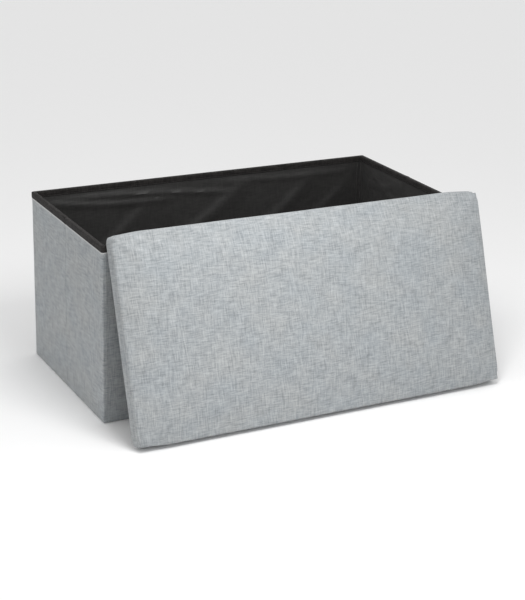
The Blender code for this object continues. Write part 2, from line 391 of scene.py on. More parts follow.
def finish_surface(tree, shader, color, roughness):
    """Link a colour and a roughness that change over the surface."""
    wire(tree, color, shader.inputs["Base Color"])
    wire(tree, roughness, shader.inputs["Roughness"])


def object_noise(tree, cell, detail, roughness=0.5):
    """Noise on object coordinates."""
    place = add_node(tree, "ShaderNodeTexCoord")
    return stretched_noise(tree, place.outputs["Object"], cell, detail, roughness)


def linen_material():
    """Pale grey slubbed weave of the covers, with a painted highlight along the turned edge under the
    rim.
    """
    values = {"Sheen Weight": 0.18, "Sheen Roughness": 0.45, "Specular IOR Level": 0.25}
    material, tree, shader = new_material("pale_grey_linen", values)
    cloth = cloth_group(tree, WEAVE, 0.0009)
    yarn = cloth.outputs["Yarn"]
    patch = cloth.outputs["Patch"]
    color = shades(tree, yarn, 0.12, 0.88, (0.212, 0.226, 0.235), (0.412, 0.428, 0.436))
    tint = shades(tree, patch, 0.35, 0.65, (0.950, 0.970, 0.985), (1.030, 1.020, 1.005))
    color = mix_color(tree, 1.0, color, tint, "MULTIPLY")
    # Painted highlight: the lip attribute pales the colour in a thin band where the turned edge under
    # the binding catches light.
    lip = add_node(tree, "ShaderNodeAttribute", attribute_name="lip")
    color = mix_color(tree, lip.outputs["Fac"], color, (0.66, 0.66, 0.65, 1))
    finish_surface(tree, shader, color, remap(tree, yarn, 0.2, 0.8, 0.95, 0.82))
    add_bump(tree, cloth.outputs["Height"], shader, 0.0004, 0.6)
    return material


def dark_woven_material(name, pitch, dark, light, rough_from, rough, bump, sheen, specular):
    """A fine dark weave. Roughness follows the cloth output rough_from over the range rough."""
    values = {"Sheen Weight": sheen, "Specular IOR Level": specular}
    material, tree, shader = new_material(name, values)
    cloth = cloth_group(tree, WEAVE, pitch)
    color = shades(tree, cloth.outputs["Yarn"], 0.3, 0.7, dark, light)
    finish_surface(tree, shader, color, remap(tree, cloth.outputs[rough_from], *rough))
    add_bump(tree, cloth.outputs["Height"], shader, *bump)
    return material


def spunbond_material():
    """Black non-woven cloth under the lid and the base."""
    material, tree, shader = new_material("black_spunbond")
    cloth = cloth_group(tree, SPUNBOND)
    dots = cloth.outputs["Dots"]
    fibres = cloth.outputs["Fibres"]
    color = shades(tree, fibres, 0.3, 0.75, (0.014, 0.014, 0.015), (0.036, 0.036, 0.038))
    color = mix_color(tree, dots, color, (0.013, 0.013, 0.014, 1))
    finish_surface(tree, shader, color, remap(tree, dots, 0.0, 1.0, 0.9, 0.55))
    add_bump(tree, cloth.outputs["Height"], shader, 0.0002, 0.8)
    return material


def thread_material():
    """Black sewing thread with its twist."""
    material, tree, shader = new_material("black_thread")
    twist = object_noise(tree, (0.0004, 0.0004), 2.0)
    color = shades(tree, twist, 0.3, 0.7, (0.012, 0.012, 0.012), (0.042, 0.040, 0.039))
    finish_surface(tree, shader, color, remap(tree, twist, 0.3, 0.7, 0.6, 0.45))
    return material


def board_material():
    """Brown pressed fibreboard with flecks."""
    material, tree, shader = new_material("pressed_fibreboard")
    broad = object_noise(tree, (0.03, 0.03), 3.0)
    flecks = object_noise(tree, (0.0016, 0.0030), 4.0, 0.75)
    color = shades(tree, broad, 0.3, 0.7, (0.30, 0.20, 0.125), (0.41, 0.29, 0.19))
    color = mix_color(tree, remap(tree, flecks, 0.56, 0.68), color, (0.17, 0.105, 0.06, 1))
    finish_surface(tree, shader, color, remap(tree, flecks, 0.3, 0.7, 0.78, 0.92))
    add_bump(tree, flecks, shader, 0.0003, 0.6)
    return material


def staple_material():
    """Galvanised wire."""
    material, tree, shader = new_material("galvanised_wire", {"Metallic": 1.0})
    grain = object_noise(tree, (0.0006, 0.003), 3.0)
    color = shades(tree, grain, 0.3, 0.7, (0.50, 0.50, 0.51), (0.66, 0.66, 0.67))
    finish_surface(tree, shader, color, remap(tree, grain, 0.3, 0.7, 0.28, 0.42))
    return material


def floor_material():
    """Plain pale floor."""
    values = {"Base Color": (0.93, 0.93, 0.93, 1), "Roughness": 0.9, "Specular IOR Level": 0.1}
    return new_material("pale_floor", values)[0]


LINEN = linen_material()
LINING = dark_woven_material(
    "black_lining_cloth", 0.0004, (0.019, 0.0185, 0.018), (0.030, 0.029, 0.028),
    "Patch", (0.3, 0.7, 0.44, 0.56), (0.00015, 0.5), 0.06, 0.5)
BINDING = dark_woven_material(
    "charcoal_binding", 0.0006, (0.008, 0.0072, 0.0068), (0.024, 0.0215, 0.0205),
    "Yarn", (0.2, 0.8, 0.86, 0.72), (0.0003, 0.7), 0.03, 0.2)
FELT = spunbond_material()
THREAD = thread_material()
BOARD = board_material()
STAPLE = staple_material()


# ---------------- the loop round the box

def apart(station, other):
    """Signed distance from one station to another, the short way round."""
    return (station - other + AROUND / 2) % AROUND - AROUND / 2


def wall_of(station):
    """The corner nearest a station: its place, the way in, the way out, and the signed distance."""
    corners = (
        (Vector((LEFT, FRONT)), Vector((0, -1)), Vector((1, 0))),
        (Vector((RIGHT, FRONT)), Vector((1, 0)), Vector((0, 1))),
        (Vector((RIGHT, BACK)), Vector((0, 1)), Vector((-1, 0))),
        (Vector((LEFT, BACK)), Vector((-1, 0)), Vector((0, -1))),
    )
    best = None
    for (place, way_in, way_out), corner_station in zip(corners, CORNER_STATIONS):
        distance = apart(station, corner_station)
        if best is None or abs(distance) < abs(best[3]):
            best = (place, way_in, way_out, distance)
    return best


def loop_point(station, depth):
    """The plan point at a station and a depth. Corners are rounded on both faces of the wall."""
    place, way_in, way_out, distance = wall_of(station)
    along = abs(distance)
    half_arc = OUTER_ROUND * math.pi / 4
    if along < half_arc:
        turn = math.radians(45) + math.radians(45) * along / half_arc
        arc = Vector((math.cos(turn), math.sin(turn)))
        outer = Vector((OUTER_ROUND, OUTER_ROUND)) - OUTER_ROUND * arc
        centre = RIM_INSIDE + INNER_ROUND
        inner = Vector((centre, centre)) - INNER_ROUND * arc
    else:
        share = min((along - half_arc) / (CORNER_EASE - half_arc), 1.0)
        start = RIM_INSIDE + INNER_ROUND
        outer_along = OUTER_ROUND + share * (CORNER_EASE - OUTER_ROUND)
        inner_along = start + share * (CORNER_EASE - start)
        if along > CORNER_EASE:
            outer_along = inner_along = along
        outer = Vector((outer_along, 0.0))
        inner = Vector((inner_along, RIM_INSIDE))
    spot = outer + (inner - outer) * (depth / RIM_INSIDE)
    if distance < 0:
        return place - way_in * spot.x + way_out * spot.y
    return place + way_out * spot.x - way_in * spot.y


def loop_columns(start, end):
    """Stations between two ends: close together at corners and at the creases, wider on flat walls."""
    offsets = [step * 0.001 for step in range(3, 21)] + [0.0]
    offsets += [OUTER_ROUND * math.pi / 4 * share for share in (0.25, 0.5, 0.75, 1.0)]
    special = [corner + lap + sign * offset
               for corner in CORNER_STATIONS for lap in (-AROUND, 0.0)
               for sign in (-1, 1) for offset in offsets]
    special += [crease + sign * step * 0.001
                for crease in (LEFT_CREASE, RIGHT_CREASE, RIGHT_CREASE - AROUND)
                for sign in (-1, 1) for step in range(0, 13)]
    plain = list(np.linspace(start, end, max(2, round((end - start) / 0.009) + 1)))
    found = [start, end] + [s for s in special if start < s < end]
    found += [s for s in plain if all(abs(s - other) > 0.004 for other in found)]
    kept = []
    for station in sorted(set(found)):
        if not kept or station - kept[-1] > 0.0003:
            kept.append(station)
    kept[-1] = end
    return kept


def cloth_width(start, end, depth):
    """Length of flat cloth between two stations at a depth."""
    points = [loop_point(station, depth) for station in loop_columns(start, end)]
    return sum((b - a).length for a, b in zip(points, points[1:]))


def add_strip(name, start, end, profile, cloth, shift=None):
    """A strip of cloth along the loop. The profile is a list of (depth, height), outer face to the
    left of the way that it runs, and shift moves a point by (depth, height)."""
    columns = loop_columns(start, end)
    across = len(columns) - 1
    up = len(profile) - 1
    bpy.ops.mesh.primitive_grid_add(x_subdivisions=across, y_subdivisions=up, size=1)
    strip = bpy.context.object
    call(strip, name)
    runs = [0.0]
    for (depth_a, height_a), (depth_b, height_b) in zip(profile, profile[1:]):
        runs.append(runs[-1] + math.hypot(depth_b - depth_a, height_b - height_a))
    spots = []
    for vertex in strip.data.vertices:
        column = round((vertex.co.x + 0.5) * across)
        row = round((vertex.co.y + 0.5) * up)
        station = columns[column]
        depth, height = profile[row]
        if shift is not None:
            change = shift(station, depth, height)
            depth += change[0]
            height += change[1]
        plan = loop_point(station, depth)
        spots.append((station, runs[row]))
        vertex.co = (plan.x, plan.y, height)
    layer = strip.data.uv_layers.active
    layer.name = "cloth"
    for loop in strip.data.loops:
        layer.data[loop.index].uv = spots[loop.vertex_index]
    wall = strip.modifiers.new("cloth", "SOLIDIFY")
    wall.thickness = cloth
    wall.offset = -1.0
    apply_modifiers(strip)
    smooth_by_angle(strip)
    return strip


def arc_points(centre, radius, start, end, steps):
    """Points on an arc in (depth, height), angles in degrees from outward to up."""
    points = []
    for step in range(steps + 1):
        angle = math.radians(start + (end - start) * step / steps)
        points.append((centre[0] - radius * math.cos(angle), centre[1] + radius * math.sin(angle)))
    return points


# ---------------- where each strip goes

# name, first station, last station, and the one or two bodies
STRIPS = (
    ("rear_right", RIGHT_CREASE - AROUND, WIDTH + DEPTH + CORNER_END - AROUND,
     ("back_wall", "right_rear_leaf")),
    ("back", WIDTH + DEPTH + CORNER_END - AROUND, 2 * WIDTH + DEPTH - CORNER_END - AROUND,
     ("back_wall",)),
    ("rear_left", 2 * WIDTH + DEPTH - CORNER_END - AROUND, LEFT_CREASE - DEPTH / 4,
     ("back_wall", "left_rear_leaf")),
    ("left_crease", LEFT_CREASE - DEPTH / 4, LEFT_CREASE + DEPTH / 4,
     ("left_front_leaf", "left_rear_leaf")),
    ("front_left", LEFT_CREASE + DEPTH / 4, CORNER_END, ("front_wall", "left_front_leaf")),
    ("front", CORNER_END, WIDTH - CORNER_END, ("front_wall",)),
    ("front_right", WIDTH - CORNER_END, RIGHT_CREASE, ("front_wall", "right_front_leaf")),
)
STANDS_FOR = {
    "rear_right": "right_rear",
    "back": "back",
    "rear_left": "left_rear",
    "left_crease": None,
    "front_left": "left_front",
    "front": "front",
    "front_right": "right_front",
}


def carry(piece, bodies):
    """Ride on one body; a piece between two bodies keeps its place, its transform baked into its mesh.
    """
    if len(bodies) == 1:
        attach(piece, bodies[0])
        return
    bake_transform(piece)


def crease_distance(station):
    """Distance to the nearer of the two end creases."""
    return min(abs(apart(station, LEFT_CREASE)), abs(apart(station, RIGHT_CREASE)))


def corner_distance(station):
    """Distance to the nearest corner of the loop."""
    return abs(wall_of(station)[3])


def rim_kink(station):
    """How the rim dips at the left crease and rises at the right one."""
    dip = -0.0011 * hump(apart(station, LEFT_CREASE), 0.004)
    return dip + 0.0009 * hump(apart(station, RIGHT_CREASE), 0.005)


def quiet_at_seam(station):
    """Fades to 0 at the right crease, where the strips' two ends meet."""
    return ease(abs(apart(station, RIGHT_CREASE)) / 0.02)


def cover_shift(station, depth, height):
    """Slight waves of the cover on its board, its pressed corners, and its grooves at the creases."""
    if depth > COVER_FACE + 0.0002 or height < 0.002:
        return 0.0, 0.0
    calm = quiet_at_seam(station)
    wave = 0.00022 * unevenness(station * 16, height * 11, 1.7)
    wave += 0.00012 * unevenness(station * 60, height * 34, 5.1)
    seam = 0.0003 * hump(corner_distance(station) - 0.0075, 0.0016)
    groove = 0.0008 * hump(crease_distance(station), 0.0022)
    lip = 0.0008 * hump(height - (RIM - BINDING_DROP - 0.0024), 0.0026)
    below = ease((RIM - BINDING_DROP - height) / 0.001)
    kink = rim_kink(station) * ease((height - RIM + 0.05) / 0.05)
    return groove + below * (calm * wave - seam - lip), kink


def cover_profile():
    """From the hem under the board, round the foot and up to the rim."""
    foot = arc_points((COVER_FACE + 0.0011, 0.0011), 0.0011, -90, 0, 4)
    rows = [(LINING_FACE - 0.0005, 0.0), (0.0050, 0.0)] + foot
    climb = np.linspace(0.010, RIM - BINDING_DROP - 0.012, 32)
    rows += [(COVER_FACE, float(height)) for height in climb]
    under = (0.009, 0.007, 0.0055, 0.0045, 0.0035, 0.0025, 0.0015, 0.0005, -0.0005)
    rows += [(COVER_FACE, RIM - BINDING_DROP - drop) for drop in under]
    return rows + [(COVER_FACE, COVER_TOP)]


def paint_lip_highlight(cover):
    """An attribute that masks a painted highlight along the turned edge just under the rim binding."""
    lip = cover.data.attributes.new("lip", "FLOAT", "POINT")
    for vertex in cover.data.vertices:
        above = vertex.co.z - (RIM - BINDING_DROP - 0.0012)
        lip.data[vertex.index].value = 0.7 * hump(above, 0.0013)


def add_covers():
    """The outer cover, as strips that follow the walls and bend at corners and at the left crease."""
    profile = cover_profile()
    for name, start, end, bodies in STRIPS:
        cover = add_strip(name + "_cover_cloth", start, end, profile, COVER_CLOTH, cover_shift)
        cover.data.materials.append(LINEN)
        paint_lip_highlight(cover)
        if STANDS_FOR[name]:
            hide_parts(STANDS_FOR[name] + "_cover")
        flat = (cloth_width(start, end, COVER_FACE), COVER_CUT)
        carry(cover, bodies)


# ---------------- rim binding and its stitches

STITCH_HEIGHT = RIM - BINDING_DROP + 0.0022
STITCH_PITCH = 0.0036


def binding_profile():
    """Up the outside, over the rim and down the inside."""
    foot = RIM - BINDING_DROP
    outside = [(0.0005, foot), (0.0001, foot + 0.0004), (0.0, foot + 0.0013), (0.0003, foot + 0.0022)]
    outside += [(0.0, foot + 0.0031), (0.0, foot + 0.0060)]
    over = arc_points((0.0024, RIM - 0.0024), 0.0024, 0, 90, 5)
    back_over = arc_points((RIM_INSIDE - 0.0024, RIM - 0.0024), 0.0024, 90, 180, 5)
    inside = [(RIM_INSIDE - depth, height) for depth, height in reversed(outside)]
    return outside + over + back_over + inside


def binding_shift(station, depth, height):
    """The tape's uneven edges and its kinks at the creases."""
    low = ease((RIM - height) / BINDING_DROP)
    wander = 0.0003 * unevenness(station * 45, depth * 90, 3.3)
    pull = 0.00012 * unevenness(station * 160, height * 80, 8.2)
    groove = 0.0007 * hump(crease_distance(station), 0.002) * (1 if depth < RIM_INSIDE / 2 else 0)
    calm = quiet_at_seam(station)
    return groove + abs(pull) * calm, calm * wander * low + rim_kink(station)


def stitch_mesh():
    """One stitch, about 2.6 mm long, lying along X."""
    bpy.ops.mesh.primitive_uv_sphere_add(segments=6, ring_count=4, radius=1.0)
    stitch = bpy.context.object
    stitch.data.transform(Matrix.Rotation(math.radians(90), 4, "Y"))
    stitch.data.transform(Matrix.Diagonal((0.0013, 0.00028, 0.00032, 1.0)))
    stitch.data.materials.append(THREAD)
    mesh = stitch.data
    bpy.data.objects.remove(stitch)
    return mesh


STITCH = stitch_mesh()


def stitch_row(start, end, depth, height, shift):
    """Stitches along the loop at one depth and height. Returns them as objects."""
    row = []
    count = max(1, int((end - start) / STITCH_PITCH))
    for index in range(count):
        station = start + (index + 0.5) * (end - start) / count
        change = shift(station, depth, height)
        here = loop_point(station, depth + change[0])
        ahead = loop_point(station + 0.0005, depth + change[0])
        turn = math.atan2(ahead.y - here.y, ahead.x - here.x)
        stitch = bpy.data.objects.new("stitch", STITCH.copy())
        bpy.context.scene.collection.objects.link(stitch)
        place = Matrix.Translation((here.x, here.y, height + change[1]))
        stitch.data.transform(place @ Matrix.Rotation(turn, 4, "Z"))
        row.append(stitch)
    return row


def add_bindings():
    """The rim binding with a row of stitches on each side."""
    profile = binding_profile()
    for name, start, end, bodies in STRIPS:
        tape = add_strip(name + "_rim_tape", start, end, profile, BINDING_CLOTH, binding_shift)
        tape.data.materials.append(BINDING)
        stitches = stitch_row(start, end, 0.0001, STITCH_HEIGHT, binding_shift)
        stitches += stitch_row(start, end, RIM_INSIDE - 0.0001, STITCH_HEIGHT, binding_shift)
        join_into(tape, stitches)
        smooth_by_angle(tape)
        if STANDS_FOR[name]:
            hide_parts(STANDS_FOR[name] + "_binding")
        flat = (cloth_width(start, end, 0.0), BINDING_CUT)
        carry(tape, bodies)


# ---------------- lining

LINING_TOP = RIM - BINDING_DROP + 0.004
LINING_FOOT = BASE_TOP + 0.0008


def swoop(station, height, start, end, sag, half_width, peak):
    """One long wrinkle from start to end, both (station, height), sagging between them."""
    run = end[0] - start[0]
    share = (station - start[0]) / run
    if not -0.2 < share < 1.2:
        return 0.0
    line = start[1] + (end[1] - start[1]) * share - sag * 4 * share * (1 - share)
    slope = (end[1] - start[1]) / run - sag * 4 * (1 - 2 * share) / run
    distance = (height - line) / math.hypot(1.0, slope)
    fade = ease((share + 0.2) / 0.45) * ease((1.2 - share) / 0.45)
    side = 1.0 if distance < 0 else 0.55
    return peak * fade * hump(distance, half_width * side)


def seeded_wrinkles(seed, start, end, count):
    """Random long wrinkles for a wall that hangs loose between two stations."""
    draw = random.Random(seed)
    wrinkles = []
    for _ in range(count):
        middle = draw.uniform(start, end)
        run = draw.uniform(0.35, 0.8) * min(end - start, 0.34)
        fall = draw.choice((-1, 1)) * draw.uniform(0.04, 0.16)
        level = draw.uniform(0.05, 0.30)
        wrinkles.append((
            (middle - run / 2, level + fall / 2), (middle + run / 2, level - fall / 2),
            draw.uniform(0.0, 0.03), draw.uniform(0.006, 0.013), draw.uniform(0.0010, 0.0026),
        ))
    return wrinkles


# Long wrinkles: two ends as (distance, height), then sag, half width and peak. Distances run from the
# left end of the back wall, and from the back of the right wall.
BACK_SWOOPS = (
    ((0.02, 0.318), (0.30, 0.300), 0.006, 0.008, 0.0030),
    ((0.10, 0.322), (0.46, 0.296), -0.004, 0.006, 0.0026),
    ((0.02, 0.150), (0.24, 0.290), 0.020, 0.016, 0.0034),
    ((0.20, 0.170), (0.46, 0.312), 0.022, 0.018, 0.0036),
    ((0.16, 0.100), (0.40, 0.262), 0.016, 0.012, 0.0026),
    ((0.42, 0.170), (0.62, 0.306), 0.018, 0.017, 0.0036),
    ((0.36, 0.090), (0.58, 0.250), 0.016, 0.013, 0.0026),
    ((0.56, 0.180), (0.72, 0.300), 0.014, 0.012, 0.0024),
    ((0.44, 0.322), (0.72, 0.316), 0.003, 0.006, 0.0018),
)
RIGHT_SWOOPS = (
    ((0.02, 0.300), (0.14, 0.312), 0.010, 0.007, 0.0026),
    ((0.03, 0.305), (0.17, 0.215), 0.010, 0.010, 0.0030),
    ((0.02, 0.265), (0.15, 0.160), 0.012, 0.012, 0.0030),
    ((0.05, 0.322), (0.26, 0.262), 0.012, 0.008, 0.0028),
    ((0.16, 0.322), (0.34, 0.270), 0.010, 0.009, 0.0026),
    ((0.20, 0.250), (0.34, 0.150), 0.010, 0.012, 0.0026),
)
LEFT_WRINKLES = seeded_wrinkles(5, -DEPTH + 0.03, -0.03, 6)
FRONT_WRINKLES = seeded_wrinkles(9, 0.03, WIDTH - 0.03, 12)


def wrinkles_at(station, height):
    """Height of the lining's wrinkles above its flat hang."""
    lap = (station + AROUND) % AROUND
    if WIDTH + DEPTH < lap < 2 * WIDTH + DEPTH:
        from_left = 2 * WIDTH + DEPTH - lap
        return max(swoop(from_left, height, *wrinkle) for wrinkle in BACK_SWOOPS)
    if WIDTH < lap <= WIDTH + DEPTH:
        from_back = WIDTH + DEPTH - lap
        return max(swoop(from_back, height, *wrinkle) for wrinkle in RIGHT_SWOOPS)
    if lap < WIDTH:
        return max(swoop(lap, height, *wrinkle) for wrinkle in FRONT_WRINKLES)
    return max(swoop(lap - AROUND, height, *wrinkle) for wrinkle in LEFT_WRINKLES)


def lining_shift(station, depth, height):
    """Loose cloth: long wrinkles and slow waves, quiet at corners, creases, rim and foot."""
    calm = ease((corner_distance(station) - 0.014) / 0.030)
    calm *= ease((crease_distance(station) - 0.008) / 0.018)
    edge = ease((LINING_TOP - 0.004 - height) / 0.012) * ease((height - LINING_FOOT) / 0.04)
    wave = 0.0007 * (0.5 + unevenness(station * 14, height * 9, 2.9))
    ripple = 0.00035 * (0.5 + unevenness(station * 55, height * 40, 7.7))
    pleat = 0.0020 * hump(corner_distance(station) - 0.0135, 0.0017) * edge
    lift = edge * (calm * (wrinkles_at(station, height) + wave + ripple) + 0.1 * ripple)
    at_back = 0.5 * AROUND < (station + AROUND) % AROUND < 0.85 * AROUND
    return lift + pleat * (1.0 if at_back else 0.3), 0.0


def lining_strips():
    """Cut the loop where the lining bends, so that what lies flat on a wall can be pressed flat."""
    corners = {
        "rear_right": WIDTH + DEPTH - AROUND,
        "rear_left": 2 * WIDTH + DEPTH - AROUND,
        "front_left": 0.0,
        "front_right": WIDTH,
    }
    end_length = DEPTH / 2 - CORNER_END
    pieces = []
    for name, first, last, bodies in STRIPS:
        if name == "left_crease":
            first = LEFT_CREASE - CREASE_END
            last = LEFT_CREASE + CREASE_END
        if name not in corners:
            pieces.append((name, first, last, bodies))
            continue
        first = corners[name] - CORNER_END
        last = corners[name] + CORNER_END
        pieces.append((name, first, last, bodies))
        gap = CREASE_END if "left" in name else 0.0
        ends = (last, last + end_length - gap)
        if name in ("rear_right", "front_left"):
            ends = (first - end_length + gap, first)
        pieces.append((name + "_leaf", *ends, (bodies[1],)))
    return pieces


def add_linings():
    """The hanging lining. Flat parts press against their wall as the box folds."""
    heights = np.linspace(LINING_TOP, LINING_FOOT, 66)
    profile = [(LINING_FACE, float(height)) for height in heights]
    for name, start, end, bodies in lining_strips():
        lining = add_strip(name + "_lining_cloth", start, end, profile, LINING_CLOTH, lining_shift)
        lining.data.materials.append(LINING)
        width = cloth_width(start, end, LINING_FACE)
        carry(lining, bodies)
        if len(bodies) == 1:
            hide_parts(STANDS_FOR[name.removesuffix("_leaf")] + "_lining")
            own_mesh(lining)


# ---------------- base

def soft_copy(node, name, cuts, wave, material):
    """A cloth version of a flat CAD solid: merged, subdivided and gently waved, top and foot alike."""
    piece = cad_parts[node].copy()
    piece.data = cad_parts[node].data.copy()
    for key in list(piece.keys()):
        del piece[key]
    piece.parent = None
    call(piece, name)
    bpy.context.scene.collection.objects.link(piece)
    select_parts(piece, "VERT", lambda part: True)
    bpy.ops.mesh.remove_doubles(threshold=0.00005)
    bpy.ops.mesh.subdivide(number_cuts=cuts)
    close_edit()
    for vertex in piece.data.vertices:
        spot = vertex.co
        lift = unevenness(spot.x * 14, spot.y * 14, 4.4)
        lift += 0.4 * unevenness(spot.x * 50, spot.y * 50, 9.4)
        vertex.co.z += wave * (0.5 + 0.5 * max(-1.0, min(1.0, lift)))
    piece.data.materials.clear()
    piece.data.materials.append(material)
    set_uv(piece, lambda co: (co.x, co.y))
    smooth_by_angle(piece)
    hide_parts(node)
    return piece


def add_base():
    """Cloth faces of the base's two leaves, and the soft gussets beside them."""
    for leaf in ("base_front", "base_rear"):
        sheets = (
            ("lining", 0.00025, LINING, "black_lining"),
            ("undercloth", 0.00015, FELT, "black_felt"),
        )
        for part, wave, material, slot in sheets:
            cloth = soft_copy(leaf + "_" + part, leaf + "_" + part + "_cloth", 28, wave, material)
            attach(cloth, leaf + "_leaf")
    for side in ("left", "right"):
        node = side + "_base_gusset"
        gusset = soft_copy(node, node + "_cloth", 20, 0.0009, LINING)
        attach(gusset, "front_wall")
        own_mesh(gusset)


# ---------------- lid

LID_ROUND = 0.011
LID_EDGE_ROUND = 0.024
LID_SKIRT = 0.0020
LID_DROOP = 0.0018
LID_SAG_END = 0.065
LID_CELL = 0.006
FOOT_HEIGHT = 0.0075
SWELL_LIMIT = 0.005
SWELL_STEPS = 20


def lid_block():
    """The lid's padded shape in its own frame: rounded corners, soft top rim and a low crown."""
    start = LID_TOP - 0.0015
    middle = Vector((0.0, LID_DEPTH / 2, (LID_SOLE + start) / 2))
    size = Vector((LID_WIDTH, LID_DEPTH, start - LID_SOLE))
    bpy.ops.mesh.primitive_cube_add(size=1, location=middle, scale=size)
    lid = bpy.context.object
    call(lid, "lid_cushion")
    bpy.ops.object.transform_apply(location=True, rotation=True, scale=True)

    def place(index):
        return lid.data.vertices[index].co

    def upright(edge):
        return abs(place(edge.vertices[0]).z - place(edge.vertices[1]).z) > 0.01

    def top_rim(edge):
        return min(place(edge.vertices[0]).z, place(edge.vertices[1]).z) > start - 0.0001

    select_parts(lid, "EDGE", upright)
    bpy.ops.mesh.bevel(offset=LID_ROUND, segments=6, affect="EDGES")
    close_edit()
    select_parts(lid, "EDGE", top_rim)
    bpy.ops.mesh.bevel(offset=LID_EDGE_ROUND, segments=6, affect="EDGES")
    close_edit()
    for step, rise in ((0.030, 0.0030), (0.040, 0.0016), (0.050, 0.0008)):
        crest = max(polygon.center.z for polygon in lid.data.polygons)
        select_parts(lid, "FACE", lambda face: face.center.z > crest - 0.00001 and face.normal.z > 0.99)
        bpy.ops.mesh.inset(thickness=step)
        bpy.ops.transform.translate(value=(0, 0, rise))
        close_edit()
    return lid


def pad_lid(lid):
    """Swell the lid with cloth under slight pressure, its underside held, then cap how far it moved."""
    remesh = lid.modifiers.new("skin", "REMESH")
    remesh.mode = "VOXEL"
    remesh.voxel_size = LID_CELL
    apply_modifiers(lid)
    before = np.zeros(len(lid.data.vertices) * 3)
    lid.data.vertices.foreach_get("co", before)
    before = before.reshape(-1, 3)
    held = lid.vertex_groups.new(name="held")
    held.add([int(i) for i in np.nonzero(before[:, 2] < LID_BOARD_TOP)[0]], 1.0, "REPLACE")
    cloth = lid.modifiers.new("cloth", "CLOTH")
    values = {"quality": 5, "mass": 0.3, "vertex_group_mass": "held"}
    values.update(tension_stiffness=12, compression_stiffness=12, bending_stiffness=0.6)
    values.update(use_pressure=True, uniform_pressure_force=4.0)
    for key, value in values.items():
        setattr(cloth.settings, key, value)
    cloth.settings.effector_weights.gravity = 0.0
    cloth.point_cache.frame_start = 1
    cloth.point_cache.frame_end = SWELL_STEPS
    scene = bpy.context.scene
    for step in range(1, SWELL_STEPS + 1):
        scene.frame_set(step)
    make_active(lid)
    bpy.ops.object.modifier_apply(modifier=cloth.name)
    scene.frame_set(1)
    after = np.zeros(len(lid.data.vertices) * 3)
    lid.data.vertices.foreach_get("co", after)
    move = after.reshape(-1, 3) - before
    length = np.linalg.norm(move, axis=1, keepdims=True)
    capped = before + move * np.minimum(1.0, SWELL_LIMIT / np.maximum(length, 1e-9))
    lid.data.vertices.foreach_set("co", capped.ravel())
    lid.data.update()
    lid.vertex_groups.clear()


def lid_uv(spot):
    """The cover's cloth laid out flat: over the top, then on down the sides."""
    half = LID_WIDTH / 2
    drop = max(0.0, LID_TOP - 0.006 - spot.z)
    from_side = half - abs(spot.x)
    from_end = min(spot.y, LID_DEPTH - spot.y)
    across = math.copysign(ease((0.014 - from_side) / 0.012) * drop, spot.x)
    along = math.copysign(ease((0.014 - from_end) / 0.012) * drop, spot.y - LID_DEPTH / 2)
    return spot.x + across, spot.y + along


def lid_outward(spot, skirt):
    """How far a point of the lid moves: its rim outward by the skirt, less at the ends of the long
    sides, its lower edge out to a straight side, and its underside down over the board."""
    core = Vector((LID_WIDTH / 2 - LID_ROUND, LID_DEPTH / 2 - LID_ROUND))
    plan = Vector((spot.x, spot.y - LID_DEPTH / 2))
    inner = Vector((max(-core.x, min(core.x, plan.x)), max(-core.y, min(core.y, plan.y))))
    reach = plan - inner
    sink = 0.0
    if LID_SOLE < spot.z < FOOT_HEIGHT:
        sink = (spot.z - LID_SOLE) * (1.0 - ease((spot.z - 0.0035) / 0.004))
    if reach.length < LID_ROUND - 0.007:
        return Vector((0.0, 0.0, -sink))
    foot = 1.0 - ease((spot.z - 0.010) / 0.012)
    full = 0.6
    if abs(reach.y) > abs(reach.x):
        full = ease((LID_WIDTH / 2 - abs(spot.x)) / LID_SAG_END)
    grow = skirt + LID_DROOP * (2 * full - 1)
    if reach.y < -abs(reach.x):
        grow *= 1.0 - foot
    grow += foot * max(0.0, LID_ROUND - reach.length)
    side = reach.normalized() * grow
    return Vector((side.x, side.y, -sink))


def add_lid_cushion():
    """Foam and cover of the lid, as one padded piece."""
    lid = lid_block()
    pad_lid(lid)
    loose = lid.vertex_groups.new(name="loose")
    for vertex in lid.data.vertices:
        loose.add([vertex.index], ease((vertex.co.z - 0.008) / 0.010), "REPLACE")
    smooth = lid.modifiers.new("smooth", "SMOOTH")
    smooth.factor = 0.5
    smooth.iterations = 4
    smooth.vertex_group = loose.name
    finer = lid.modifiers.new("finer", "SUBSURF")
    finer.levels = 1
    finer.render_levels = 1
    apply_modifiers(lid)
    for vertex in lid.data.vertices:
        spot = vertex.co
        share = ease((spot.z - LID_BOARD_TOP) / 0.012)
        soft = unevenness(spot.x * 9, spot.y * 9, 2.2)
        small = unevenness(spot.x * 28, spot.y * 28, 6.1)
        vertex.co.z += share * (0.0007 * soft + 0.00025 * small)
        side = unevenness(spot.x * 12, spot.y * 12, spot.z * 20)
        vertex.co += lid_outward(spot, LID_SKIRT + 0.0004 * side)
    set_uv(lid, lid_uv)
    lid.data.materials.append(LINEN)
    lid.data.transform(LID_FRAME)
    for vertex in lid.data.vertices:
        vertex.co.z = max(vertex.co.z, 0.0)
    make_active(lid)
    bpy.ops.object.shade_smooth()
    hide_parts("lid_cover", "lid_foam")
    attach(lid, "lid")


